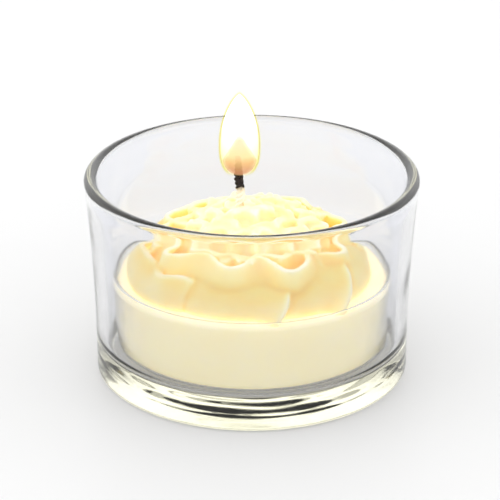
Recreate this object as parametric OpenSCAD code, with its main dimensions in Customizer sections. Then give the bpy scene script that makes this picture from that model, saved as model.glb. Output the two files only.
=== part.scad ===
/* [Glass holder] */
// Outer diameter of the glass at its lip
rim_d = 72; // [60:0.5:88]
// Height of the glass from its foot to the top of its lip
glass_h = 45; // [37:0.5:54]
// How much narrower the foot is than the lip, on the radius
wall_flare = 1.8; // [0.6:0.2:2.6]
// Thickness of the glass wall
wall_t = 2.5; // [2:0.1:3]
// Width of the rounded bead round the lip
lip_w = 2.8; // [2.5:0.1:3.4]
// Thickness of glass under the inner floor
floor_t = 6.6; // [5:0.2:9]
// Radius of the corner where the inner wall meets the floor
floor_fillet_r = 2.6; // [1.5:0.1:3]
// Radius of the edge round the foot
heel_r = 1.2; // [0.6:0.1:2]
// Width of the flat ring that the foot stands on, round the hollow underside
foot_ring_w = 9; // [5:0.5:14]
// Depth of the hollow at its middle
hollow_depth = 1.1; // [0.5:0.1:2]

/* [Candle cup] */
// Gap between the cup's rim and the glass wall just above its floor
cup_play = 1.5; // [0.8:0.1:4]
// Height of the cup
cup_h = 16.9; // [14:0.1:24]
// Thickness of the cup's wall and floor
cup_t = 0.45; // [0.35:0.05:0.8]
// How much narrower the cup is at its floor, on the radius
cup_taper = 0.6; // [0.2:0.1:1.5]
// Radius of the cup's lower corner
cup_corner_r = 2.2; // [1.5:0.1:3.5]
// Width of the thickened edge round the cup's rim
cup_edge_w = 0.7; // [0.5:0.05:1]

/* [Wax] */
// How far the poured wax stops below the cup's rim
fill_drop = 1.2; // [0.6:0.1:3]
// Width of poured wax left bare round the flower
flower_ledge = 2.25; // [1:0.05:6]
// Height of the flower above the poured wax
flower_h = 15.2; // [10:0.2:18]
// How deep the petal edges wave in and out
ruffle = 2.0; // [0.5:0.1:2.2]

/* [Wick and flame] */
// Diameter of the braided wick
wick_d = 2.1; // [1.4:0.1:3]
// Sideways distance from the cup's axis to the wick
wick_offset = 2.6; // [0:0.1:4]
// Straight length of wick that stands above the flower
wick_stand = 6.4; // [4:0.1:9]
// Length of the burnt tip that leans over
tip_len = 4; // [2.5:0.1:6]
// Lean of the burnt tip in degrees
tip_lean = 9; // [0:1:25]
// Diameter of the metal disc that holds the wick down
disc_d = 18; // [14:0.5:24]
// Thickness of that disc
disc_t = 0.3; // [0.2:0.05:0.5]
// Height of the neck crimped round the wick
neck_h = 4; // [2.5:0.5:6]
// Greatest diameter of the flame
flame_d = 9; // [6:0.5:12]
// Height of the flame
flame_h = 19.4; // [14:0.2:26]

/* [Fits] */
// Gap under the cup and under the poured wax
seat_gap = 0.15; // [0.1:0.05:0.3]
// Gap between the wax and the cup's wall
wax_gap = 0.3; // [0.2:0.05:0.5]
// Gap round the wick and the disc where the wax is cast to them
cast_gap = 0.05; // [0.02:0.01:0.1]

/* [Hidden] */

$fn = 96;
wall_steps = 14;
arc_steps = 8;
flame_steps = 9;
petal_steps = 72;

rim_r = rim_d / 2;
foot_r = rim_r - wall_flare;
hollow_r = foot_r - heel_r - foot_ring_w;
// The wall stands straight up to the inner floor and flares above it
flare_z = floor_t;
lip_r = lip_w / 2;
// Height of the bead's middle, where the glass is widest
bead_z = glass_h - lip_r;
// Height over which the bead blends into the inner wall
lip_blend = 3.2;

cup_z = floor_t + seat_gap;
cup_rim_z = cup_z + cup_h;
cup_floor_z = cup_z + cup_t;
cup_r = foot_r - wall_t - cup_play;
cup_foot_r = cup_r - cup_taper;

wax_z = cup_floor_z + seat_gap;
wax_top_z = cup_rim_z - fill_drop;
wax_inset = cup_t + wax_gap;
flower_r = cup_r - wax_inset - flower_ledge;

flower_top_z = wax_top_z + flower_h;
flower_lobes = [9, 7, 5];

wick_r = wick_d / 2;
wick_bend_z = flower_top_z + wick_stand;
tip_r = 0.72 * wick_r;
disc_r = disc_d / 2;
neck_r = wick_r + cast_gap + disc_t;

flame_r = flame_d / 2;
flame_z = wick_bend_z - 0.2;
// Share of the flame's height at which it is widest
flame_belly = 0.385;

// Points of an arc of radius r round [x, z], from angle a to angle b
function arc(x, z, r, a, b) =
    [for (i = [0:arc_steps]) let (t = a + (b - a) * i / arc_steps) [x + r * cos(t), z + r * sin(t)]];

// Outer radius of the glass at height z
function outer_r(z) = foot_r + wall_flare * pow(max(0, z - flare_z) / (bead_z - flare_z), 2);

// Thickness of the glass at height z, which swells into the bead near the lip
function wall_at(z) =
    let (u = max(0, z - (bead_z - lip_blend)) / lip_blend)
    wall_t + (lip_w - wall_t) * u * u * (3 - 2 * u);

// Radius of the cup's outside at height z
function cup_side_r(z) = cup_foot_r + cup_taper * (z - cup_z) / cup_h;

// Share of the flame's radius at share t of its height
function flame_share(t) = t < flame_belly
    ? pow(1 - pow((flame_belly - t) / flame_belly, 3.2), 0.455)
    : pow(1 - pow((t - flame_belly) / (1 - flame_belly), 2), 0.8);

// Rings of the flower from the outside in: share of its radius, share of its height,
// share of the ruffle, and which tier of petals sets the number of waves
PETAL_RINGS = [
    [1.000, 0.00, 0.10, 0], [1.005, 0.08, 0.25, 0], [0.930, 0.27, 0.60, 0],
    [0.860, 0.44, 0.95, 0], [0.794, 0.52, 1.05, 0], [0.742, 0.51, 0.75, 0],
    [0.684, 0.44, 0.20, 0], [0.647, 0.53, 0.20, 1], [0.603, 0.69, 0.55, 1],
    [0.544, 0.77, 0.65, 1], [0.493, 0.75, 0.55, 1], [0.441, 0.70, 0.15, 1],
    [0.397, 0.80, 0.15, 2], [0.338, 0.91, 0.40, 2], [0.279, 0.93, 0.35, 2],
    [0.220, 0.89, 0.10, 2], [0.162, 0.96, 0.10, 2], [0.081, 1.00, 0.00, 2]
];

// One point of the flower's ring k at turn angle a
function petal_point(k, a) =
    let (ring = PETAL_RINGS[k],
         wave = cos(flower_lobes[ring[3]] * a + 40 * ring[3]),
         r = ring[0] * flower_r + ring[2] * ruffle * wave,
         z = wax_top_z + ring[1] * flower_h + 0.25 * ring[2] * ruffle * sin(4 * a))
    [r * cos(a), r * sin(a), k == 0 ? wax_top_z : z];

// Profile shared by the cup's outside and, moved inwards by inset, by whatever fits in it
module cup_outline(inset, z_low, z_high) {
    corner = max(0.5, cup_corner_r - inset);
    low_r = cup_side_r(z_low + corner) - inset;
    polygon(concat(
        [[0, z_low]],
        arc(low_r - corner, z_low + corner, corner, -90, 0),
        [[cup_side_r(z_high) - inset, z_high], [0, z_high]]));
}

// The wick's own shape, made thicker by grow where another piece needs room for it
module wick_form(grow) {
    translate([-wick_offset, 0, wax_z]) cylinder(r = wick_r + grow, h = wick_bend_z - wax_z, $fn = 32);
    translate([-wick_offset, 0, wick_bend_z]) {
        sphere(r = wick_r + grow, $fn = 32);
        rotate([0, -tip_lean, 0]) {
            cylinder(r1 = wick_r + grow, r2 = tip_r + grow, h = tip_len, $fn = 32);
            translate([0, 0, tip_len]) sphere(r = tip_r + grow, $fn = 32);
        }
    }
}

// Stamped disc with its crimped neck, made thicker by grow for the pocket round it
module disc_form(grow) {
    translate([-wick_offset, 0, wax_z - grow]) {
        cylinder(r = disc_r + grow, h = disc_t + 2 * grow);
        cylinder(r = neck_r + grow, h = neck_h + 2 * grow, $fn = 48);
    }
}

// Pressed clear glass cup with a thick base, a rounded lip and a shallow hollow underneath
module glass_holder() {
    inner_foot_r = foot_r - wall_t;
    inner_z = floor_t + floor_fillet_r;
    hollow_ball_r = (hollow_r * hollow_r + hollow_depth * hollow_depth) / (2 * hollow_depth);
    color([0.86, 0.93, 0.92, 0.35])
    difference() {
        rotate_extrude()
            polygon(concat(
                [[0, 0]],
                arc(foot_r - heel_r, heel_r, heel_r, -90, 0),
                [for (i = [0:wall_steps - 1]) let (z = flare_z + (bead_z - flare_z) * i / wall_steps)
                    [outer_r(z), z]],
                arc(outer_r(bead_z) - lip_r, bead_z, lip_r, 0, 180),
                [for (i = [1:wall_steps]) let (z = bead_z + (inner_z - bead_z) * i / wall_steps)
                    [outer_r(z) - wall_at(z), z]],
                arc(inner_foot_r - floor_fillet_r, inner_z, floor_fillet_r, 0, -90),
                [[0, floor_t]]));
        translate([0, 0, hollow_depth - hollow_ball_r]) sphere(r = hollow_ball_r, $fn = 128);
    }
}

// Thin moulded clear plastic cup that the wax is poured in
module candle_cup() {
    color([0.9, 0.93, 0.95, 0.4])
    rotate_extrude()
        difference() {
            union() {
                cup_outline(0, cup_z, cup_rim_z);
                translate([cup_r - cup_edge_w, cup_rim_z - cup_edge_w])
                    square([cup_edge_w, cup_edge_w]);
            }
            cup_outline(cup_t, cup_floor_z, cup_rim_z + 1);
        }
}

// Pale poured puck that fills the cup, cast round the disc and the wick
module wax_base() {
    color([0.95, 0.93, 0.84])
    difference() {
        rotate_extrude() cup_outline(wax_inset, wax_z, wax_top_z);
        disc_form(cast_gap);
        wick_form(cast_gap);
    }
}

// Ruffled flower moulded in yellow wax, standing on the puck
module wax_flower() {
    rings = len(PETAL_RINGS);
    shell = [for (k = [0:rings - 1]) for (i = [0:petal_steps - 1]) petal_point(k, 360 * i / petal_steps)];
    foot_point = rings * petal_steps;
    top_point = foot_point + 1;
    sides = [for (k = [0:rings - 2]) for (i = [0:petal_steps - 1])
        let (j = (i + 1) % petal_steps, a = k * petal_steps, b = a + petal_steps)
        each [[a + i, b + i, b + j], [a + i, b + j, a + j]]];
    floor_fan = [for (i = [0:petal_steps - 1]) [foot_point, i, (i + 1) % petal_steps]];
    top_fan = [for (i = [0:petal_steps - 1])
        [top_point, foot_point - petal_steps + (i + 1) % petal_steps, foot_point - petal_steps + i]];
    color([0.99, 0.91, 0.68])
    difference() {
        polyhedron(
            points = concat(shell, [[0, 0, wax_top_z], [0, 0, flower_top_z]]),
            faces = concat(sides, floor_fan, top_fan));
        wick_form(cast_gap);
    }
}

// Braided cotton wick with a burnt tip that leans
module wick() {
    color([0.25, 0.22, 0.2])
    difference() {
        wick_form(0);
        translate([-wick_offset, 0, wax_z - 1]) cylinder(r = 2 * wick_r, h = 1 + disc_t);
    }
}

// Tinplate disc and neck that hold the wick upright at the bottom of the wax
module wick_sustainer() {
    color([0.75, 0.75, 0.73])
    difference() {
        disc_form(0);
        translate([-wick_offset, 0, wax_z + disc_t])
            cylinder(r = wick_r + cast_gap, h = neck_h + 1, $fn = 48);
    }
}

// Teardrop of burning wax vapour round the burnt tip
module flame() {
    color([1, 0.8, 0.35])
    difference() {
        translate([-wick_offset, 0, flame_z])
            rotate_extrude()
                polygon(concat(
                    [for (i = [0:flame_steps]) let (t = flame_belly * pow(i / flame_steps, 2))
                        [flame_r * flame_share(t), flame_h * t]],
                    [for (i = [1:flame_steps]) let (t = flame_belly + (1 - flame_belly) * i / flame_steps)
                        [flame_r * flame_share(t), flame_h * t]]));
        wick_form(cast_gap);
    }
}

glass_holder();
candle_cup();
wax_base();
wax_flower();
wick();
wick_sustainer();
flame();
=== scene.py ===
# %% [markdown]
# # A tealight holder with a lit flower candle
# A short pressed-glass cup holds a large tealight: a thin clear plastic cup, a pale poured puck of wax,
# and on it a ruffled flower moulded in yellow wax. The wick is lit.
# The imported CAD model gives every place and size; this lesson builds the visible surfaces around it.

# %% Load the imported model
import math

import bmesh
import bpy
import numpy as np
from mathutils import Matrix, Vector, noise


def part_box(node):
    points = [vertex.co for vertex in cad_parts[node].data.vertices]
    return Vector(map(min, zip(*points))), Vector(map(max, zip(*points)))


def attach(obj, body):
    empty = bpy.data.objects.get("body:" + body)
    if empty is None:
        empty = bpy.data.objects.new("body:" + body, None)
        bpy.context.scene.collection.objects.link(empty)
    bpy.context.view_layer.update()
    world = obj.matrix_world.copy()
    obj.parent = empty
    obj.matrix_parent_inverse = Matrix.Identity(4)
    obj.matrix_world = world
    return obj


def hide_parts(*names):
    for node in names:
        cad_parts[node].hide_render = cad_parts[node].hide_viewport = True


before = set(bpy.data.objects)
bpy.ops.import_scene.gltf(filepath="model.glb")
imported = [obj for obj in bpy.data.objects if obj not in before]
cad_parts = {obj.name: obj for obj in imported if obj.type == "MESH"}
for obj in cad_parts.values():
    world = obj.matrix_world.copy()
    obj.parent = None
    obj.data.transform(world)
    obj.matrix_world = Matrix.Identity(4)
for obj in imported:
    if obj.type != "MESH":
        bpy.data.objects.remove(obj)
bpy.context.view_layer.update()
MM = 0.001

# %% [markdown]
# ## Sizes
# The lowest and highest corners of each CAD node give the driving sizes, in millimetres.
# The few that a box can't tell, such as the wall and the corner radii, are repeated here from the design.

# %% Read the sizes from the frame
def node_box(node):
    """Lowest and highest corner of a CAD node in millimetres."""
    low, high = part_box(node)
    return low / MM, high / MM


glass_high = node_box("glass_holder")[1]
cup_low, cup_high = node_box("candle_cup")
puck_low, puck_high = node_box("wax_base")
flower_high = node_box("wax_flower")[1]
wick_high = node_box("wick")[1]
disc_low, disc_high = node_box("wick_sustainer")
flame_low, flame_high = node_box("flame")

RIM_R = glass_high.x
GLASS_H = glass_high.z
WALL_FLARE, WALL_T, LIP_W = 1.8, 2.5, 2.8
FLOOR_T, FLOOR_FILLET_R, HEEL_R = 6.6, 2.6, 1.2
HOLLOW_R, HOLLOW_DEPTH = 24.0, 1.1
LIP_R = LIP_W / 2
LIP_BLEND = 3.2
BEAD_Z = GLASS_H - LIP_R
FOOT_R = RIM_R - WALL_FLARE
CUP_R, CUP_Z, CUP_RIM_Z = cup_high.x, cup_low.z, cup_high.z
CUP_T, CUP_TAPER, CUP_CORNER_R = 0.45, 0.6, 2.2
PUCK_Z, PUCK_TOP_Z = puck_low.z, puck_high.z
WAX_INSET = CUP_T + 0.3
FLOWER_R, FLOWER_TOP_Z = flower_high.x, flower_high.z
WICK_X = (disc_low.x + disc_high.x) / 2
WICK_R = 1.05
FLAME_Z, FLAME_TOP_Z = flame_low.z, flame_high.z
FLAME_R = (flame_high.x - flame_low.x) / 2
FLAME_X = (flame_high.x + flame_low.x) / 2
print(f"lip {2 * RIM_R:.1f} mm, glass {GLASS_H:.1f} mm high, flower top at {FLOWER_TOP_Z:.1f} mm")

# %% [markdown]
# ## Helpers
# Three small tools do most of the work. One turns a profile into a closed round shell, as a lathe or a
# mould does. One puts a finished mesh in the scene. One adds a shader node with its settings and links.

# %% Mesh helpers
TURN_STEPS = 192


def arc_points(x, z, radius, start, end, steps=10):
    """Points of an arc round (x, z), angles in degrees."""
    turn = [math.radians(start + (end - start) * i / steps) for i in range(steps + 1)]
    return [(x + radius * math.cos(t), z + radius * math.sin(t)) for t in turn]


def line_points(start, end, steps):
    """Points along a straight stretch, both ends left out."""
    return [(start[0] + (end[0] - start[0]) * i / steps, start[1] + (end[1] - start[1]) * i / steps)
            for i in range(1, steps)]


def put_in_scene(name, bm, smooth=True):
    """Turns a bmesh in millimetres into an object in metres at the origin."""
    bmesh.ops.scale(bm, vec=(MM, MM, MM), verts=bm.verts)
    mesh = bpy.data.meshes.new(name)
    bm.to_mesh(mesh)
    bm.free()
    mesh.polygons.foreach_set("use_smooth", [smooth] * len(mesh.polygons))
    piece = bpy.data.objects.new(name, mesh)
    bpy.context.scene.collection.objects.link(piece)
    return piece


def turned_shell(profile, steps=TURN_STEPS, centre_x=0.0):
    """Spins a profile into a closed shell, normals outwards. It ends on the axis or where it began."""
    bm = bmesh.new()
    points = [bm.verts.new((r, 0, z)) for r, z in profile]
    edges = [bm.edges.new(pair) for pair in zip(points, points[1:])]
    bmesh.ops.spin(bm, geom=points + edges, cent=(0, 0, 0), axis=(0, 0, 1), angle=2 * math.pi,
                   steps=steps, use_merge=True, use_duplicate=False)
    bmesh.ops.remove_doubles(bm, verts=bm.verts, dist=0.002)
    bmesh.ops.recalc_face_normals(bm, faces=bm.faces)
    bmesh.ops.translate(bm, vec=(centre_x, 0, 0), verts=bm.verts)
    return bm


print(f"a full turn is {TURN_STEPS} steps")


# %% Material helpers
def linear(hex_colour):
    """An sRGB hex colour as linear RGBA."""
    values = [int(hex_colour[i:i + 2], 16) / 255 for i in (1, 3, 5)]
    return tuple(c / 12.92 if c <= 0.04045 else ((c + 0.055) / 1.055) ** 2.4 for c in values) + (1.0,)


def new_material(name, finish):
    """A material whose Principled shader gets the given values, returned with its node tree and shader."""
    material = bpy.data.materials.new(name)
    material.use_nodes = True
    shader = material.node_tree.nodes["Principled BSDF"]
    for socket, value in finish.items():
        shader.inputs[socket].default_value = value
    return material, material.node_tree, shader


def add_node(tree, kind, settings=None, inputs=None, stops=()):
    """Adds one shader node with its settings and links. An input that is a socket is linked, and any
    other value is set. stops are the (position, colour) pairs of a ramp, a colour in hex or as one level."""
    node = tree.nodes.new(kind)
    for name, value in (settings or {}).items():
        setattr(node, name, value)
    for name, value in (inputs or {}).items():
        if isinstance(value, bpy.types.NodeSocket):
            tree.links.new(value, node.inputs[name])
        else:
            node.inputs[name].default_value = value
    for index, (position, colour) in enumerate(stops):
        elements = node.color_ramp.elements
        element = elements[index] if index < len(elements) else elements.new(position)
        element.position = position
        element.color = linear(colour) if isinstance(colour, str) else (colour, colour, colour, 1.0)
    return node


def pattern_scale(size_mm):
    """The scale that gives a pattern features of this size, for a texture read in metres."""
    return 1 / (size_mm * MM)


def finish_piece(piece, body, material, replaces=()):
    """Gives a piece its material and tells the frame which body it rides on."""
    piece.data.materials.clear()
    piece.data.materials.append(material)
    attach(piece, body)
    if replaces:
        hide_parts(*replaces)
    print(f"{piece.name}: {len(piece.data.polygons)} faces, on body {body}")


print("mid grey in linear light:", round(linear("#808080")[0], 3))

# %% [markdown]
# ## Camera, floor and light
# The camera looks down 24 degrees with a long lens, so that the lip is a flat ellipse.
# Clear glass has almost no colour of its own: it shows what stands round it. So it stands on a white
# table that is faintly lit from below, under a soft sky that is brightest about 20 degrees up. The
# brightest part lights the lip and the wax from the side, and the dimmer zenith keeps the top of the flower
# from glaring.

# %% Camera
CAMERA_DISTANCE, CAMERA_ELEVATION = 504.0, math.radians(24.2)
AIM = Vector((0, 0, 0.499 * GLASS_H))
SENSOR_MM, LENS_MM = 36, 166.3
# The shifts set where the object stands in the frame, and leave its perspective alone
SHIFT_X, SHIFT_Y = -0.0036, 0.0351
towards_camera = Vector((0, -math.cos(CAMERA_ELEVATION), math.sin(CAMERA_ELEVATION)))
camera_data = bpy.data.cameras.new("camera")
camera_data.lens = LENS_MM
camera_data.sensor_width = SENSOR_MM
camera_data.shift_x = SHIFT_X
camera_data.shift_y = SHIFT_Y
camera_data.clip_start = 10 * MM
camera = bpy.data.objects.new("camera", camera_data)
camera.location = MM * (AIM + CAMERA_DISTANCE * towards_camera)
camera.rotation_euler = (math.pi / 2 - CAMERA_ELEVATION, 0, 0)
bpy.context.scene.collection.objects.link(camera)
bpy.context.scene.camera = camera
bpy.context.scene.view_settings.view_transform = "Standard"
# Light is piped a long way inside thick glass, so its paths get more turns than usual
GLASS_TURNS, GAS_TURNS = 40, 16
bpy.context.scene.cycles.max_bounces = GLASS_TURNS
bpy.context.scene.cycles.transmission_bounces = GLASS_TURNS
bpy.context.scene.cycles.transparent_max_bounces = GAS_TURNS
print(f"camera {CAMERA_DISTANCE:.0f} mm away, {math.degrees(CAMERA_ELEVATION):.1f} degrees up")

# %% Table
# A sheet of satin white acrylic spreads the lamps under it into an even glow, and its tone drifts slowly.
# It lies a hair under the foot, so that the two faces never meet.
TABLE_R, TABLE_GAP = 900.0, 0.1
TABLE_GLOW = 0.21
TABLE_CLOUDS = 170
bm = bmesh.new()
bmesh.ops.create_circle(bm, cap_ends=True, radius=TABLE_R, segments=96)
bmesh.ops.translate(bm, vec=(0, 0, -TABLE_GAP), verts=bm.verts)
table = put_in_scene("table", bm, smooth=False)
table_material, tree, shader = new_material("white_acrylic_table", {
    "Roughness": 0.5, "Specular IOR Level": 0.2,
    "Emission Color": linear("#ffffff"), "Emission Strength": TABLE_GLOW})
coords = add_node(tree, "ShaderNodeTexCoord")
clouds = add_node(tree, "ShaderNodeTexNoise",
                  inputs={"Vector": coords.outputs["Object"], "Scale": pattern_scale(TABLE_CLOUDS)})
tone = add_node(tree, "ShaderNodeValToRGB", inputs={"Fac": clouds.outputs["Fac"]},
                stops=[(0.3, "#cdcdcd"), (0.7, "#d1d1d1")])
tree.links.new(tone.outputs["Color"], shader.inputs["Base Color"])
table.data.materials.append(table_material)
print(f"table {2 * TABLE_R:.0f} mm across")

# %% Studio
# Light levels of the sky from the horizon, 0, to straight up, 1
SKY = [(0.0, 1.35), (0.2, 1.5), (0.35, 1.95), (0.55, 1.55), (0.85, 0.7)]
world = bpy.data.worlds.new("studio")
bpy.context.scene.world = world
world.use_nodes = True
tree = world.node_tree
coords = add_node(tree, "ShaderNodeTexCoord")
axes = add_node(tree, "ShaderNodeSeparateXYZ", inputs={"Vector": coords.outputs["Generated"]})
sky_level = add_node(tree, "ShaderNodeValToRGB", inputs={"Fac": axes.outputs["Z"]}, stops=SKY)
tree.links.new(sky_level.outputs["Color"], tree.nodes["Background"].inputs["Color"])
# Name, place and size in mm, and power in watts. They are weak, and only put soft lights on the skins.
SOFT_BOXES = [("soft_box_top_left", (-350, -150, 650), 420, 0.4),
              ("soft_box_right", (520, -260, 420), 300, 0.2)]


def soft_light(name, place, size, power, aim=(0, 0, 20)):
    """A square soft box at a place in millimetres, facing the object."""
    light = bpy.data.lights.new(name, "AREA")
    light.shape = "SQUARE"
    light.size = size * MM
    light.energy = power
    lamp = bpy.data.objects.new(name, light)
    lamp.location = Vector(place) * MM
    lamp.rotation_euler = (Vector(aim) - Vector(place)).to_track_quat("-Z", "Y").to_euler()
    bpy.context.scene.collection.objects.link(lamp)


for soft_box in SOFT_BOXES:
    soft_light(*soft_box)
print(f"studio sky and {len(SOFT_BOXES)} soft boxes are ready")

# %% [markdown]
# ## The glass
# A pressed glass is one thick shell: a gob of molten glass, a mould outside, a plunger inside, and a flame
# that rounds the lip. It could be a cylinder with a Solidify modifier, but its base is nearly three times
# as thick as its wall and its lip is a bead, so the whole section is drawn and spun. The underside is a
# shallow dome inside a flat ring. Soda-lime glass bends light at an index of 1.52 and is faintly olive in
# depth, which a plain absorption in the closed shell gives. The mould leaves it a little wavy, so a long
# soft bump moves the highlights.

# %% Glass shape
def outer_r(z):
    """Outer radius at height z: straight over the base, then a flare towards the lip."""
    rise = max(0.0, z - FLOOR_T) / (BEAD_Z - FLOOR_T)
    return FOOT_R + WALL_FLARE * rise ** 2


def wall_at(z):
    """Thickness of the wall at height z, which swells into the bead under the lip."""
    u = min(1.0, max(0.0, z - (BEAD_Z - LIP_BLEND)) / LIP_BLEND)
    return WALL_T + (LIP_W - WALL_T) * u * u * (3 - 2 * u)


# Height and pitch of the rings that the turned mould leaves in the hollow, in mm
TOOL_MARK, TOOL_PITCH = 0.05, 4.4
HOLLOW_STEPS, WALL_STEPS = 90, 28


def glass_profile():
    """The section from the middle of the hollow, up, over the lip and down to the middle of the floor."""
    inner_z = FLOOR_T + FLOOR_FILLET_R
    inner_r = FOOT_R - WALL_T
    ball_r = (HOLLOW_R ** 2 + HOLLOW_DEPTH ** 2) / (2 * HOLLOW_DEPTH)
    ball_z = HOLLOW_DEPTH - ball_r
    hollow = []
    for r in np.linspace(0, HOLLOW_R, HOLLOW_STEPS):
        fade = min(1.0, (HOLLOW_R - r) / 2, r / 2)
        ring_mark = TOOL_MARK * math.sin(2 * math.pi * r / TOOL_PITCH) * fade
        hollow.append((r, ball_z + math.sqrt(ball_r ** 2 - r ** 2) + ring_mark))
    ring = line_points((HOLLOW_R, 0), (FOOT_R - HEEL_R, 0), 12)
    heel = arc_points(FOOT_R - HEEL_R, HEEL_R, HEEL_R, -90, 0, 8)
    foot = line_points((FOOT_R, HEEL_R), (FOOT_R, FLOOR_T), 6)
    wall = [(outer_r(z), z) for z in np.linspace(FLOOR_T, BEAD_Z, WALL_STEPS, endpoint=False)]
    lip = arc_points(RIM_R - LIP_R, BEAD_Z, LIP_R, 0, 180, 20)
    inside = [(outer_r(z) - wall_at(z), z) for z in np.linspace(BEAD_Z, inner_z, WALL_STEPS)[1:]]
    fillet = arc_points(inner_r - FLOOR_FILLET_R, inner_z, FLOOR_FILLET_R, 0, -90, 10)[1:]
    floor = line_points((inner_r - FLOOR_FILLET_R, FLOOR_T), (0, FLOOR_T), 20)
    return hollow + ring + heel + foot + wall + lip + inside + fillet + floor + [(0, FLOOR_T)]


# The underside chills unevenly against the mould, which leaves long soft hills in the hollow. They fade
# out towards the foot ring, and none dips as far as the table.
FLOW_H, FLOW_SIZE, FLOW_FADE = 0.25, 9.0, 4
LOWEST_HILL = 0.02
glass_mesh = turned_shell(glass_profile())
for vert in glass_mesh.verts:
    radius = math.hypot(vert.co.x, vert.co.y)
    if vert.co.z < HOLLOW_DEPTH + 2 * TOOL_MARK and radius < HOLLOW_R:
        hill = noise.noise(Vector((vert.co.x / FLOW_SIZE, vert.co.y / FLOW_SIZE, 0)))
        raised = vert.co.z + FLOW_H * hill * min(1.0, (HOLLOW_R - radius) / FLOW_FADE)
        vert.co.z = max(LOWEST_HILL, raised)
glass = put_in_scene("glass_cup", glass_mesh)
print(f"glass: {len(glass.data.vertices)} points")

# %% Glass finish
# Pressed and fire polished glass is clear, and a touch softer than blown glass. Its skin is a cool white
# that keeps the thin wall neutral, and its depth is olive, which shows where the base is seen edge on.
MOULD_WAVE = 14
glass_material, tree, shader = new_material("soda_lime_glass", {
    "Base Color": linear("#f3f4f9"), "Transmission Weight": 1.0, "Roughness": 0.06, "IOR": 1.52})
coords = add_node(tree, "ShaderNodeTexCoord")
waves = add_node(tree, "ShaderNodeTexNoise", inputs={
    "Vector": coords.outputs["Object"], "Scale": pattern_scale(MOULD_WAVE), "Detail": 1.0})
ripple = add_node(tree, "ShaderNodeBump", inputs={
    "Strength": 0.35, "Distance": 0.4 * MM, "Height": waves.outputs["Fac"]})
tree.links.new(ripple.outputs["Normal"], shader.inputs["Normal"])
olive_depth = add_node(tree, "ShaderNodeVolumeAbsorption",
                       inputs={"Color": linear("#e7df59"), "Density": 7.0})
tree.links.new(olive_depth.outputs["Volume"], tree.nodes["Material Output"].inputs["Volume"])
finish_piece(glass, "holder", glass_material, ["glass_holder"])

# %% [markdown]
# ## The candle's plastic cup
# A large tealight is poured in a thin cup of clear polycarbonate. It is injection moulded, so the wall is
# even, half a millimetre thick, with a small edge round the rim that shows as a thin grey line.
# It is spun like the glass, with its own inner and outer skin.

# %% Plastic cup
def cup_side_r(z):
    """Outer radius of the cup at height z: it tapers, so that it leaves its mould."""
    return CUP_R - CUP_TAPER + CUP_TAPER * (z - CUP_Z) / (CUP_RIM_Z - CUP_Z)


def cup_side(inset, z_low, z_high, steps=10):
    """The outline of the cup's side moved in by inset, from the axis at z_low up to z_high."""
    corner = max(0.5, CUP_CORNER_R - inset)
    low_r = cup_side_r(z_low + corner) - inset
    flat = [(0, z_low)] + line_points((0, z_low), (low_r - corner, z_low), 14)
    bend = arc_points(low_r - corner, z_low + corner, corner, -90, 0, 8)
    rise = line_points(bend[-1], (cup_side_r(z_high) - inset, z_high), steps)
    return flat + bend + rise


# The small edge of the rim: its width, and how far each shoulder reaches down, in and under the top
CUP_EDGE_W, EDGE_ROUND, EDGE_CUT, EDGE_DIP = 0.7, 0.15, 0.12, 0.02
edge_in = CUP_R - CUP_EDGE_W
edge_low = CUP_RIM_Z - CUP_EDGE_W
outside = cup_side(0, CUP_Z, CUP_RIM_Z)
edge = [(CUP_R, CUP_RIM_Z - EDGE_ROUND), (CUP_R - EDGE_CUT, CUP_RIM_Z - EDGE_DIP),
        (CUP_R - CUP_EDGE_W / 2, CUP_RIM_Z), (edge_in + EDGE_CUT, CUP_RIM_Z - EDGE_DIP),
        (edge_in, CUP_RIM_Z - EDGE_ROUND), (edge_in, edge_low + EDGE_CUT), (CUP_R - CUP_T, edge_low)]
inside = cup_side(CUP_T, CUP_Z + CUP_T, edge_low)
plastic_cup = put_in_scene("plastic_cup", turned_shell(outside + edge + inside[::-1]))
print(f"plastic cup: {2 * CUP_R:.1f} mm across, wall {CUP_T} mm")

# %% Plastic cup finish
# Thin moulded plastic is less clear than glass: a faint haze of flow marks softens what is seen through it
FLOW_MARK = 4.5
plastic_material, tree, shader = new_material("clear_polycarbonate", {
    "Base Color": linear("#fbfcfd"), "Transmission Weight": 1.0, "IOR": 1.58})
coords = add_node(tree, "ShaderNodeTexCoord")
haze = add_node(tree, "ShaderNodeTexNoise",
                inputs={"Vector": coords.outputs["Object"], "Scale": pattern_scale(FLOW_MARK)})
haze_range = add_node(tree, "ShaderNodeMapRange",
                      inputs={"Value": haze.outputs["Fac"], "To Min": 0.08, "To Max": 0.2})
tree.links.new(haze_range.outputs["Result"], shader.inputs["Roughness"])
finish_piece(plastic_cup, "cup", plastic_material, ["candle_cup"])

# %% [markdown]
# ## The poured puck
# The puck is pale candle wax poured in the cup. Wax shrinks a little as it sets, so it stands clear of
# the wall and its upper edge is round. Light goes a few millimetres into wax before it comes out, which
# is subsurface scattering: blue light goes least deep, so thick wax looks warm. A burning candle's wax
# also carries the flame's light down inside it. To trace that would take very many samples, so a warm
# painted glow stands for it, and also for the studio light that the glass and the cup hold back from the
# puck.

# %% Puck
# The skin of the wax is uneven by PUCK_HILL mm, over about PUCK_HILL_SIZE mm
PUCK_EDGE_R, PUCK_HILL, PUCK_HILL_SIZE = 1.0, 0.06, 4.0
PUCK_SEED = 7


def puck_profile():
    """The section of the puck from the axis below, up its side and over its rounded edge."""
    top_r = cup_side_r(PUCK_TOP_Z) - WAX_INSET
    side = cup_side(WAX_INSET, PUCK_Z, PUCK_TOP_Z - PUCK_EDGE_R)
    edge = arc_points(top_r - PUCK_EDGE_R, PUCK_TOP_Z - PUCK_EDGE_R, PUCK_EDGE_R, 0, 90, 8)
    top = [(r, PUCK_TOP_Z) for r in np.linspace(top_r - PUCK_EDGE_R, 0, 24)[1:]]
    return side + edge + top


puck_mesh = turned_shell(puck_profile(), steps=128)
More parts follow.
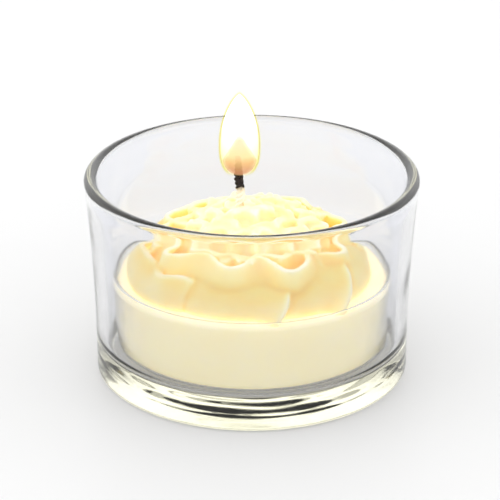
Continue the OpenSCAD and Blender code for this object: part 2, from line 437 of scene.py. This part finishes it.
# noise_vector starts from the clock unless it is given a seed, so this keeps every run the same
noise.seed_set(PUCK_SEED)
for vert in puck_mesh.verts:
    vert.co += PUCK_HILL * noise.noise_vector(vert.co / PUCK_HILL_SIZE)
puck = put_in_scene("wax_puck", puck_mesh)
print(f"puck: {PUCK_TOP_Z - PUCK_Z:.1f} mm high")

# %% Wax finish
# Candle wax is a soft satin solid. Its cloudy tone and fine grain keep its skin from looking like plastic.
WAX_SCATTER = (1.0, 0.92, 0.6)
WAX_CLOUD, WAX_GRAIN = 8, 1.1


def wax_material(name, tones, depth_mm, glow, painted_glow_strength):
    """Candle wax: a mottled colour, light that scatters depth_mm inside it, a fine grained satin skin and
    a faint painted glow, which stands for light inside the wax. The mottled colour is returned too, for the
    piece to use."""
    material, tree, shader = new_material(name, {
        "Subsurface Weight": 1.0, "Subsurface Radius": WAX_SCATTER, "Subsurface Scale": depth_mm * MM,
        "Roughness": 0.45, "IOR": 1.44,
        "Emission Color": linear(glow), "Emission Strength": painted_glow_strength})
    coords = add_node(tree, "ShaderNodeTexCoord")
    clouds = add_node(tree, "ShaderNodeTexNoise", inputs={
        "Vector": coords.outputs["Object"], "Scale": pattern_scale(WAX_CLOUD), "Detail": 3.0})
    tone = add_node(tree, "ShaderNodeValToRGB", inputs={"Fac": clouds.outputs["Fac"]}, stops=tones)
    grain = add_node(tree, "ShaderNodeTexNoise", inputs={
        "Vector": coords.outputs["Object"], "Scale": pattern_scale(WAX_GRAIN), "Detail": 2.0})
    skin = add_node(tree, "ShaderNodeBump", inputs={
        "Strength": 0.25, "Distance": 0.1 * MM, "Height": grain.outputs["Fac"]})
    tree.links.new(skin.outputs["Normal"], shader.inputs["Normal"])
    return material, tree, shader, tone


# The puck's warm glow, #ffedb2 at 0.64, is painted light: it stands for the flame's light inside the wax and
# for studio light that the glass and cup hold back
pale_wax, tree, shader, tone = wax_material(
    "poured_ivory_wax", [(0.35, "#fdf1d2"), (0.65, "#fff6dd")], 3.0, "#ffedb2", 0.64)
tree.links.new(tone.outputs["Color"], shader.inputs["Base Color"])
finish_piece(puck, "candle", pale_wax, ["wax_base"])

# %% [markdown]
# ## The flower
# The flower is cast in a soft mould, so it is one piece of wax: a dome with thin petals standing on it in
# tiers, each petal a ruffled sheet. Sculpting it by hand would look best but can't be repeated, and one
# bumpy dome has no deep folds. So each petal is a flat grid that is bent into place, given its thickness,
# and then all of them and the dome are remeshed into one skin and smoothed, which rounds the edges as a
# mould does.

# %% Petals
# The petals stand a little way into the puck, so that no light gets in under them
PETAL_SINK = 0.3
FOOT_Z = PUCK_TOP_Z - PETAL_SINK
PETAL_COLUMN, PETAL_ROWS = 1.6, 20
# How far the crests of the ruffles wander in degrees, how much their depth varies, how narrow they are
CREST_WANDER, DEPTH_CHANGE, CREST_PINCH = 80, 0.9, 0.25
# Powers of the share of the height with which the lean, the ruffles and the curl of the rim grow, and of
# the share of the half width with which the side edges lift
LEAN_POWER, RUFFLE_POWER, CURL_POWER, EDGE_POWER = 1.3, 1.1, 7, 5


def petal(start, end, foot, rim, waves, lean=(0.0, 0.0), bulge=0.8, curl=0.9, ends=(0.5, 0.5),
          droop=1.2, thick=1.2):
    """One ruffled petal. start and end are turn angles in degrees at its foot, counted from the front
    towards +X, and lean moves them at the rim. foot and rim are (radius, height) in mm.
    waves is (depth in mm, waves in a full turn, angle of one crest). bulge swells the middle, curl turns
    the rim outwards, ends lifts each side edge off the petal behind, droop lowers the rim towards them,
    and thick is the thickness in mm."""
    depth, count, crest = waves
    columns = max(18, int((end - start) / PETAL_COLUMN))
    bm = bmesh.new()
    bmesh.ops.create_grid(bm, x_segments=columns, y_segments=PETAL_ROWS, size=1.0)
    for vert in bm.verts:
        # across runs from one side edge to the other and up from the foot to the rim, both from 0 to 1
        across, up = (vert.co.x + 1) / 2, (vert.co.y + 1) / 2
        low, high = start + lean[0] * up, end + lean[1] * up
        angle = low + (high - low) * across
        # No two ruffles are alike: one slow noise moves their crests and another changes their depth
        uneven = noise.noise(Vector((math.radians(angle) * 2.2, rim[0] * 0.7, 3.1)))
        swell = 1 + DEPTH_CHANGE * noise.noise(Vector((math.radians(angle) * 1.7, rim[0] * 0.9, 8.4)))
        wave = swell * math.cos(math.radians(count * (angle + CREST_WANDER / count * uneven - crest)))
        wave = wave - CREST_PINCH * (1 - wave * wave)
        side = abs(2 * across - 1)
        lift = ends[0] if across < 0.5 else ends[1]
        radius = foot[0] + (rim[0] - foot[0]) * up ** LEAN_POWER
        radius += (bulge * math.sin(math.pi * up) + curl * up ** CURL_POWER
                   + lift * side ** EDGE_POWER * (1 - 0.4 * up))
        radius += depth * (wave + 0.5 * uneven) * up ** RUFFLE_POWER
        # A crest that stands out also hangs a little lower
        height = foot[1] + (rim[1] - foot[1]) * up ** 0.95
        height -= (0.22 * depth * wave + droop * side ** EDGE_POWER - 0.9 * uneven) * up ** 2
        turn = math.radians(angle)
        vert.co = Vector((radius * math.sin(turn), -radius * math.cos(turn), height))
    bmesh.ops.recalc_face_normals(bm, faces=bm.faces)
    bmesh.ops.solidify(bm, geom=bm.faces[:], thickness=thick)
    return bm


# Petals of a ring move in or out by up to 0.7 mm, by steps near the golden angle, so that no two match
RING_SHIFT, GOLDEN_STEP = 0.7, 2.4


def petal_ring(count, first, overlap, foot, rim, waves, thick):
    """Like petals round the flower, each a little turned, lapped and raised against the last."""
    ring = []
    for i in range(count):
        centre = first + 360 / count * i
        half = 180 / count * overlap
        shift = RING_SHIFT * math.sin(GOLDEN_STEP * i + rim[0])
        ring.append(dict(
            start=centre - half, end=centre + half, thick=thick,
            foot=(foot[0] + 0.5 * shift, foot[1]), rim=(rim[0] + shift, rim[1] - 0.8 * shift),
            waves=(waves[0], waves[1], centre + 9 * shift)))
    return ring


# %% The tiers of petals
def petal_table():
    """Every petal of the flower, from the outer tier to the bud."""
    wide = FLOWER_R - 1.6
    low = [
        dict(start=-138, end=-34, foot=(wide, FOOT_Z), rim=(21.2, 28.8), waves=(1.1, 9, -52),
             curl=1.6, ends=(0, -1.2)),
        dict(start=-36, end=9, foot=(wide, FOOT_Z), rim=(18.6, 29.2), waves=(0.4, 14, -12),
             lean=(0, 13), bulge=1.7, curl=0, ends=(-1.6, 2.6), droop=0),
        dict(start=4, end=38, foot=(wide, FOOT_Z), rim=(18.4, 29.8), waves=(0.5, 12, 30),
             lean=(9, 27), bulge=1.5, curl=0, ends=(-1.4, 2.8), droop=0),
        dict(start=34, end=104, foot=(wide, FOOT_Z), rim=(20.6, 28.6), waves=(0.9, 9, 62),
             lean=(20, 0), curl=0.4, ends=(-1.0, 0.1)),
        dict(start=98, end=176, foot=(wide, FOOT_Z), rim=(21.8, 27.8), waves=(1.1, 10, 140), ends=(0, 0.3)),
        dict(start=170, end=230, foot=(wide, FOOT_Z), rim=(22.0, 28.2), waves=(1.0, 9, 200), ends=(0, 0.3)),
    ]
    tall = [
        dict(start=-90, end=50, foot=(21.6, FOOT_Z), rim=(17.2, 32.4), waves=(2.2, 9, -15),
             curl=0.7, ends=(0, 0.6), droop=0.4),
        dict(start=44, end=138, foot=(21.2, FOOT_Z), rim=(18.2, 31.6), waves=(2.0, 9, 66), ends=(0, 0.5)),
        dict(start=126, end=214, foot=(21.4, FOOT_Z), rim=(18.4, 31.4), waves=(2.1, 10, 160), ends=(0, 0.5)),
        dict(start=204, end=280, foot=(21.2, FOOT_Z), rim=(18.2, 31.6), waves=(2.0, 9, 236), ends=(0, 0.5)),
    ]
    return (low + tall
            + petal_ring(5, 20, 1.2, (15.8, 26.0), (15.0, 32.8), (1.5, 15), 1.7)
            + petal_ring(5, -16, 1.2, (12.0, 28.0), (11.4, 34.8), (1.3, 13), 1.8)
            + petal_ring(4, 30, 1.25, (8.4, 30.0), (7.8, 36.2), (1.1, 10), 1.8)
            + petal_ring(3, 15, 1.3, (4.6, 31.0), (4.6, 36.9), (0.9, 7), 1.7)
            + petal_ring(2, 80, 1.2, (1.8, 32.0), (1.9, FLOWER_TOP_Z - 0.1), (0.4, 5), 1.4))


print(f"{len(petal_table())} petals in the table")


# %% Flower body and casting
def flower_core():
    """The solid dome that the petals stand on, as (radius, height) from its skirt to its crown."""
    outline = [(FLOWER_R - 2.6, FOOT_Z), (FLOWER_R - 3.4, 24.4), (21.0, 26.4), (17.6, 28.4), (14.0, 30.8),
               (9.5, 33.4), (5.5, 35.2), (0, 36.2)]
    return turned_shell([(0, FOOT_Z)] + outline, steps=64)


def drop_crumbs(mesh):
    """Keeps the largest connected skin of a mesh and deletes the tiny loose ones that a remesh leaves."""
    bm = bmesh.new()
    bm.from_mesh(mesh)
    waiting = set(bm.verts)
    skins = []
    while waiting:
        front = [waiting.pop()]
        skin = list(front)
        while front:
            vert = front.pop()
            for edge in vert.link_edges:
                other = edge.other_vert(vert)
                if other in waiting:
                    waiting.remove(other)
                    front.append(other)
                    skin.append(other)
        skins.append(skin)
    skins.sort(key=len)
    crumbs = [vert for skin in skins[:-1] for vert in skin]
    bmesh.ops.delete(bm, geom=crumbs, context="VERTS")
    bm.to_mesh(mesh)
    bm.free()


def cast_in_one(name, shells, voxel_mm, smooth_steps):
    """Joins closed shells into one skin and softens it, as one casting from a mould."""
    bm = bmesh.new()
    for shell in shells:
        part = bpy.data.meshes.new("shell")
        shell.to_mesh(part)
        shell.free()
        bm.from_mesh(part)
        bpy.data.meshes.remove(part)
    casting = put_in_scene(name, bm)
    remesh = casting.modifiers.new("one_skin", "REMESH")
    remesh.mode = "VOXEL"
    remesh.voxel_size = voxel_mm * MM
    remesh.use_smooth_shade = True
    soften = casting.modifiers.new("soften", "SMOOTH")
    soften.factor = 0.5
    soften.iterations = smooth_steps
    graph = bpy.context.evaluated_depsgraph_get()
    mesh = bpy.data.meshes.new_from_object(casting.evaluated_get(graph))
    old = casting.data
    casting.modifiers.clear()
    drop_crumbs(mesh)
    casting.data = mesh
    bpy.data.meshes.remove(old)
    mesh.name = name
    mesh.polygons.foreach_set("use_smooth", [True] * len(mesh.polygons))
    return casting


# The flower's colour uses this height over the smoothed skin for painted shade in the folds and painted
# light on the petal edges
RIDGE_SMOOTHING, RIDGE_REACH = 24, 0.45


def mark_ridges(piece):
    """Stores how far each point stands proud of the smoothed skin: petal edges are high, folds are low.
    A point that stands RIDGE_REACH mm proud gets 1, and one that lies as far below gets 0."""
    mesh = piece.data
    bm = bmesh.new()
    bm.from_mesh(mesh)
    before = np.array([v.co for v in bm.verts])
    normals = np.array([v.normal for v in bm.verts])
    for _ in range(RIDGE_SMOOTHING):
        bmesh.ops.smooth_vert(bm, verts=bm.verts, factor=0.6,
                              use_axis_x=True, use_axis_y=True, use_axis_z=True)
    after = np.array([v.co for v in bm.verts])
    bm.free()
    proud = ((before - after) * normals).sum(1) / (RIDGE_REACH * MM)
    ridge = mesh.attributes.new("ridge", "FLOAT", "POINT")
    ridge.data.foreach_set("value", np.clip(0.5 + 0.5 * proud, 0, 1).astype(np.float32))


FLOWER_VOXEL, FLOWER_SOFTEN = 0.36, 7
petal_shells = [petal(**shape) for shape in petal_table()]
flower = cast_in_one("wax_flower_petals", [flower_core()] + petal_shells, FLOWER_VOXEL, FLOWER_SOFTEN)
mark_ridges(flower)
print(f"{len(petal_shells)} petals cast into {len(flower.data.vertices)} points")

# %% [markdown]
# ## The flower's finish
# The flower is dyed yellow wax. Light goes through a thin petal edge and is caught in a fold, so edges look
# pale and folds look deep, and both are painted into its colour: painted shade darkens the folds and painted
# light pales the edges. Ambient occlusion would find the folds only while it renders, so the height of each
# point over the smoothed skin, which is stored in the mesh, picks the painted shade. The crown, which the
# flame lights through, and the thin outer skirt are painted paler still, and a faint warm painted glow
# stands for the light that the flame sends down into the wax.

# %% Flower finish
# Painted light: the crown is painted paler between two heights and the thin skirt between two radii, in mm,
# by up to the share set below
CROWN_Z, CROWN_FULL_Z = 28.5, 34.0
SKIRT_R, SKIRT_FULL_R = 24.5, 28.0
PAINTED_PALING = 0.7
# The flower's faint warm glow, #ffe896 at 0.17, is painted light: an emission that stands for the flame's
# light inside the wax
yellow_wax, tree, shader, tone = wax_material(
    "moulded_yellow_wax", [(0.35, "#fff6e2"), (0.65, "#ffffff")], 2.2, "#ffe896", 0.17)
ridge = add_node(tree, "ShaderNodeAttribute", {"attribute_name": "ridge"})
# Painted shade and light: low points in folds get a deeper, darker yellow and proud petal edges a paler one
painted_fold_and_edge_light = add_node(tree, "ShaderNodeValToRGB", inputs={"Fac": ridge.outputs["Fac"]},
                     stops=[(0.1, "#fdd27c"), (0.48, "#ffe394"), (0.62, "#ffeeb6"), (0.9, "#fffaea")])
coords = add_node(tree, "ShaderNodeTexCoord")
axes = add_node(tree, "ShaderNodeSeparateXYZ", inputs={"Vector": coords.outputs["Object"]})
flat = add_node(tree, "ShaderNodeMapping", inputs={"Vector": coords.outputs["Object"], "Scale": (1, 1, 0)})
reach = add_node(tree, "ShaderNodeVectorMath", {"operation": "LENGTH"}, {0: flat.outputs["Vector"]})
crown = add_node(tree, "ShaderNodeMapRange", inputs={
    "Value": axes.outputs["Z"], "From Min": CROWN_Z * MM, "From Max": CROWN_FULL_Z * MM})
skirt = add_node(tree, "ShaderNodeMapRange", inputs={
    "Value": reach.outputs["Value"], "From Min": SKIRT_R * MM, "From Max": SKIRT_FULL_R * MM})
# Painted light on the crown, where the flame lights it through, and on the thin skirt, where light shows
# through the wax
painted_light_mask = add_node(tree, "ShaderNodeMath", {"operation": "MAXIMUM"},
                  {0: crown.outputs["Result"], 1: skirt.outputs["Result"]})
painted_light_share = add_node(tree, "ShaderNodeMath", {"operation": "MULTIPLY"}, {0: painted_light_mask.outputs[0], 1: PAINTED_PALING})
# A colour Mix node takes its factor at input 0 and its two colours at 6 and 7, and gives its result at 2
painted_pale_tone = add_node(tree, "ShaderNodeMix", {"data_type": "RGBA"},
                 {0: painted_light_share.outputs[0], 6: painted_fold_and_edge_light.outputs["Color"], 7: linear("#faf2d6")})
flower_tone = add_node(tree, "ShaderNodeMix", {"data_type": "RGBA", "blend_type": "MULTIPLY"},
                       {0: 1.0, 6: painted_pale_tone.outputs[2], 7: tone.outputs["Color"]})
tree.links.new(flower_tone.outputs[2], shader.inputs["Base Color"])
finish_piece(flower, "candle", yellow_wax, ["wax_flower"])

# %% [markdown]
# ## The wick and its foot
# The wick is a braid of cotton. Wax soaks its lower part and keeps it pale; the flame turns the upper
# part to black carbon, and the very end glows. One bent cylinder would do from afar, but its outline would
# be too smooth, so three round strands are wound about each other and cast in one, with a frayed width.
# The tinplate disc at its foot is stamped, with a neck crimped round the braid.

# %% Wick
TIN_T = 0.3
WICK_FOOT_Z = disc_low.z + TIN_T
WICK_BEND_Z = 44.05
WICK_TIP_Z = wick_high.z
WICK_SWAY, WICK_LEAN = 0.22, 0.15
# A strand of radius STRAND_R winds STRAND_OUT from the middle and rises STRAND_LAY mm in a full turn. It
# starts on the disc and stops TIP_ROOM mm short of the highest point of the CAD wick.
STRAND_R, STRAND_OUT, STRAND_LAY = 0.56 * WICK_R, 0.45 * WICK_R, 3.1
STRAND_STEPS, TIP_ROOM = 130, 0.3
WICK_VOXEL, WICK_SOFTEN = 0.12, 2


def wick_line(z):
    """Centre of the wick at height z: upright in the wax, then a slight S and a lean towards the tip."""
    above = max(0.0, z - FLOWER_TOP_Z)
    sway = WICK_SWAY * math.sin(above * 0.75)
    lean = WICK_LEAN * max(0.0, z - WICK_BEND_Z)
    return Vector((WICK_X + sway - lean, -0.1 * math.sin(above * 0.5), z))


def wick_strand(phase):
    """One strand: a circle spun up round the axis as a screw, then bent to the wick's line."""
    height = WICK_TIP_Z - TIP_ROOM - WICK_FOOT_Z
    bm = bmesh.new()
    bmesh.ops.create_circle(bm, radius=STRAND_R, segments=12)
    bmesh.ops.translate(bm, vec=(STRAND_OUT, 0, 0), verts=bm.verts)
    bmesh.ops.rotate(bm, cent=(0, 0, 0), matrix=Matrix.Rotation(phase, 3, "Z"), verts=bm.verts)
    bmesh.ops.spin(bm, geom=bm.edges[:], cent=(0, 0, 0), axis=(0, 0, 1),
                   dvec=(0, 0, height / STRAND_STEPS), angle=2 * math.pi * height / STRAND_LAY,
                   steps=STRAND_STEPS)
    bmesh.ops.holes_fill(bm, edges=bm.edges, sides=12)
    for vert in bm.verts:
        z = WICK_FOOT_Z + vert.co.z
        thin = 1 - 0.4 * max(0.0, z - WICK_BEND_Z) / (WICK_TIP_Z - WICK_BEND_Z)
        fray = thin * (1 + 0.14 * noise.noise(Vector((phase * 3, 0, z * 1.7))))
        vert.co = wick_line(z) + Vector((vert.co.x * fray, vert.co.y * fray, 0))
    bmesh.ops.recalc_face_normals(bm, faces=bm.faces)
    return bm


strands = [wick_strand(2 * math.pi * i / 3) for i in range(3)]
wick_piece = cast_in_one("braided_wick", strands, WICK_VOXEL, WICK_SOFTEN)
print(f"wick: {WICK_TIP_Z - WICK_FOOT_Z:.1f} mm long")

# %% Wick finish
# Cotton in wax is pale and matt. Higher up it is charred black, with a ragged edge, and near the tip a red
# brown tone is painted glow, standing for the ember that sits there. The colour is picked by height, between
# BURN_LOW_Z and BURN_HIGH_Z in mm.
FIBRE, RAGGED = 0.7, 1.2
BURN_LOW_Z, BURN_HIGH_Z = 41.0, 49.0
char_material, tree, shader = new_material("cotton_braid_charred", {"Roughness": 0.85})
coords = add_node(tree, "ShaderNodeTexCoord")
axes = add_node(tree, "ShaderNodeSeparateXYZ", inputs={"Vector": coords.outputs["Object"]})
fibres = add_node(tree, "ShaderNodeTexNoise", inputs={
    "Vector": coords.outputs["Object"], "Scale": pattern_scale(FIBRE), "Detail": 2.0})
ragged = add_node(tree, "ShaderNodeMath", {"operation": "MULTIPLY_ADD"},
                  {0: fibres.outputs["Fac"], 1: RAGGED * MM, 2: axes.outputs["Z"]})
burn = add_node(tree, "ShaderNodeMapRange", inputs={
    "Value": ragged.outputs[0], "From Min": BURN_LOW_Z * MM, "From Max": BURN_HIGH_Z * MM})
# The last stop, #7a2c12, is the ember's painted glow
char_tone = add_node(tree, "ShaderNodeValToRGB", inputs={"Fac": burn.outputs["Result"]},
                     stops=[(0.0, "#f6efdc"), (0.10, "#e6d8bd"), (0.16, "#1d1613"), (0.75, "#2a1a15"),
                            (0.95, "#7a2c12")])
tree.links.new(char_tone.outputs["Color"], shader.inputs["Base Color"])
nap = add_node(tree, "ShaderNodeBump", inputs={
    "Strength": 0.6, "Distance": 0.1 * MM, "Height": fibres.outputs["Fac"]})
tree.links.new(nap.outputs["Normal"], shader.inputs["Normal"])
finish_piece(wick_piece, "candle", char_material, ["wick"])

# %% Sustainer
NECK_R, BORE_R = 1.4, 1.1


def disc_profile():
    """The section of the disc and its neck, closed round the bore that the wick stands in."""
    low_z, top_z = disc_low.z, disc_low.z + TIN_T
    r = (disc_high.x - disc_low.x) / 2
    rim = [(r - 0.3, low_z), (r - 0.05, low_z + 0.05), (r, low_z + 0.15), (r - 0.05, low_z + 0.25),
           (r - 0.3, top_z)]
    # A shallow ring is stamped up in the disc to stiffen it
    ring = [(r - 1.6, top_z), (r - 2.2, top_z + 0.12), (r - 3.0, top_z + 0.12), (r - 3.6, top_z),
            (NECK_R + 0.5, top_z)]
    # The neck is squeezed in at its middle, where it grips the braid
    crimp = [(NECK_R + 0.1, top_z + 0.4), (NECK_R, top_z + 1.0), (NECK_R - 0.15, low_z + 2.4),
             (NECK_R, low_z + 3.2), (NECK_R + 0.05, disc_high.z)]
    return [(BORE_R, low_z)] + rim + ring + crimp + [(BORE_R, disc_high.z), (BORE_R, low_z)]


sustainer = put_in_scene("stamped_sustainer", turned_shell(disc_profile(), steps=64, centre_x=WICK_X))
print(f"sustainer: {disc_high.x - disc_low.x:.1f} mm across")

# %% Sustainer finish
# Tin-plated steel is a pale bright metal. The rolling mill leaves fine lines along the sheet.
ROLL_LINE_L, ROLL_LINE_W = 2.5, 0.17
tinplate, tree, shader = new_material("stamped_tinplate", {"Metallic": 1.0, "Roughness": 0.35})
coords = add_node(tree, "ShaderNodeTexCoord")
rolled = add_node(tree, "ShaderNodeMapping", inputs={
    "Vector": coords.outputs["Object"],
    "Scale": (pattern_scale(ROLL_LINE_L), pattern_scale(ROLL_LINE_W), pattern_scale(ROLL_LINE_L))})
roll_lines = add_node(tree, "ShaderNodeTexNoise", inputs={
    "Vector": rolled.outputs["Vector"], "Scale": 1.0, "Detail": 2.0})
tin_tone = add_node(tree, "ShaderNodeValToRGB", inputs={"Fac": roll_lines.outputs["Fac"]},
                    stops=[(0.3, "#b9b8b2"), (0.7, "#d6d5cf")])
tree.links.new(tin_tone.outputs["Color"], shader.inputs["Base Color"])
finish_piece(sustainer, "candle", tinplate, ["wick_sustainer"])

# %% [markdown]
# ## The flame
# A flame is gas with three parts: a darker zone round the wick, where wax vapour has not caught yet;
# a white luminous zone, where soot glows; and a thin yellow mantle outside. Smoke simulation would have to
# be rendered as a volume, which can't be kept as a mesh, so each part is made of closed turned shells.
# Gas hardly bends light, so the mantle has an index of 1 and only absorbs blue light, most at its edge,
# where the eye looks along it. The other two glow, and only partly hide what is behind them. The dark
# zone is three nested shells that add up towards its middle, so its edge is soft.

# %% Flame shells
FLAME_H = FLAME_TOP_Z - FLAME_Z
FLAME_BELLY = 0.385
FLAME_STEPS = 48
MANTLE_T, MANTLE_LOW = 0.36, 0.05
LUMINOUS_INSET, DARK_INSET = 0.45, 0.55


def flame_r(t):
    """Radius of the teardrop at the share t of its height, where the widest place is FLAME_BELLY."""
    if t < FLAME_BELLY:
        return FLAME_R * (1 - ((FLAME_BELLY - t) / FLAME_BELLY) ** 3.2) ** 0.455
    return FLAME_R * max(0.0, 1 - ((t - FLAME_BELLY) / (1 - FLAME_BELLY)) ** 2) ** 0.8


def flame_profile(inset, low=0.0, high=1.0):
    """The teardrop moved in by inset, between two shares of its height, closer spaced towards both ends."""
    squeeze = (FLAME_H - 2.4 * inset) / FLAME_H
    profile = []
    for i in range(FLAME_STEPS + 1):
        t = low + (high - low) * (0.5 - 0.5 * math.cos(math.pi * i / FLAME_STEPS))
        z = FLAME_Z + inset + FLAME_H * squeeze * t
        profile.append((max(0.0, flame_r(t) * (1 - inset / FLAME_R)), z))
    return profile


mantle_profile = flame_profile(0.0, MANTLE_LOW)[::-1] + flame_profile(MANTLE_T, MANTLE_LOW)
mantle = put_in_scene("flame_mantle", turned_shell(mantle_profile, 96, FLAME_X))
luminous = put_in_scene("flame_luminous_zone", turned_shell(flame_profile(LUMINOUS_INSET), 96, FLAME_X))
print(f"flame: {FLAME_H:.1f} mm high, {2 * FLAME_R:.1f} mm wide")

# %% Dark zone
# It fills the foot of the flame and rises inside it to a point. Each thinner shell ends lower.
DARK_LOW, DARK_SHOULDER, DARK_TOP = FLAME_Z + DARK_INSET, FLAME_Z + 3.7, FLAME_Z + 11.4
DARK_WIDTHS, DARK_DROP, DARK_TAPER = (1.0, 0.86, 0.7), 3.0, 1.45


def dark_profile(width):
    """The section of one shell of the dark zone, at a share of its full width."""
    foot = [(r * width, z) for r, z in flame_profile(DARK_INSET) if z < DARK_SHOULDER]
    top = DARK_TOP - (1 - width) * DARK_DROP
    rise = [(foot[-1][0] * (1 - t) ** DARK_TAPER, DARK_SHOULDER + (top - DARK_SHOULDER) * t)
            for t in np.linspace(0, 1, 20)]
    return foot + rise[:-1] + [(0, top)]


dark_mesh = bmesh.new()
for width in DARK_WIDTHS:
    shell = bpy.data.meshes.new("shell")
    nested = turned_shell(dark_profile(width), 64, FLAME_X)
    nested.to_mesh(shell)
    nested.free()
    dark_mesh.from_mesh(shell)
    bpy.data.meshes.remove(shell)
dark_zone = put_in_scene("flame_dark_zone", dark_mesh)
print(f"dark zone: {len(DARK_WIDTHS)} nested shells, {DARK_TOP - DARK_LOW:.1f} mm high")

# %% Flame finish
# Hot gas has no skin: no shine, and only colour in its depth
mantle_material, tree, shader = new_material("flame_mantle_gas", {
    "Base Color": linear("#ffffff"), "Transmission Weight": 1.0, "Roughness": 0.0, "IOR": 1.0})
yellow_depth = add_node(tree, "ShaderNodeVolumeAbsorption",
                        inputs={"Color": linear("#fffaa8"), "Density": 620.0})
tree.links.new(yellow_depth.outputs["Volume"], tree.nodes["Material Output"].inputs["Volume"])
finish_piece(mantle, "candle", mantle_material)


def flame_material(name, low_z, high_z, glow_stops, cover_stops, strength):
    """Light and cover that change with height in the flame, between two heights in mm."""
    material, tree, shader = new_material(name, {
        "Base Color": linear("#000000"), "Specular IOR Level": 0.0, "Roughness": 1.0,
        "Emission Strength": strength})
    coords = add_node(tree, "ShaderNodeTexCoord")
    axes = add_node(tree, "ShaderNodeSeparateXYZ", inputs={"Vector": coords.outputs["Object"]})
    rise = add_node(tree, "ShaderNodeMapRange", inputs={
        "Value": axes.outputs["Z"], "From Min": low_z * MM, "From Max": high_z * MM})
    glow = add_node(tree, "ShaderNodeValToRGB", inputs={"Fac": rise.outputs["Result"]}, stops=glow_stops)
    cover = add_node(tree, "ShaderNodeValToRGB", inputs={"Fac": rise.outputs["Result"]}, stops=cover_stops)
    tree.links.new(glow.outputs["Color"], shader.inputs["Emission Color"])
    tree.links.new(cover.outputs["Color"], shader.inputs["Alpha"])
    return material


# White hot soot hides what is behind it only above the dark zone. Lower down the wick shows through it.
luminous_material = flame_material(
    "flame_luminous_gas", FLAME_Z, FLAME_TOP_Z, [(0.0, "#ffd9a8"), (0.25, "#fff3d0"), (0.45, "#ffffff")],
    [(0.0, 0.03), (0.22, 0.1), (0.3, 0.2), (0.5, 0.2), (0.6, 0.6), (0.7, 1.0)], 2.5)
finish_piece(luminous, "candle", luminous_material, ["flame"])
# Unburnt vapour glows orange in its middle, and is rosy and thin at its foot
dark_material = flame_material(
    "flame_dark_gas", DARK_LOW, DARK_TOP,
    [(0.0, "#e6a894"), (0.1, "#d58464"), (0.2, "#d48a56"), (0.32, "#f0b268"), (0.45, "#fcc268"),
     (0.7, "#f9b25e"), (1.0, "#fbca62")],
    [(0.0, 0.12), (0.06, 0.32), (0.5, 0.34), (0.8, 0.24), (1.0, 0.02)], 1.0)
finish_piece(dark_zone, "candle", dark_material)
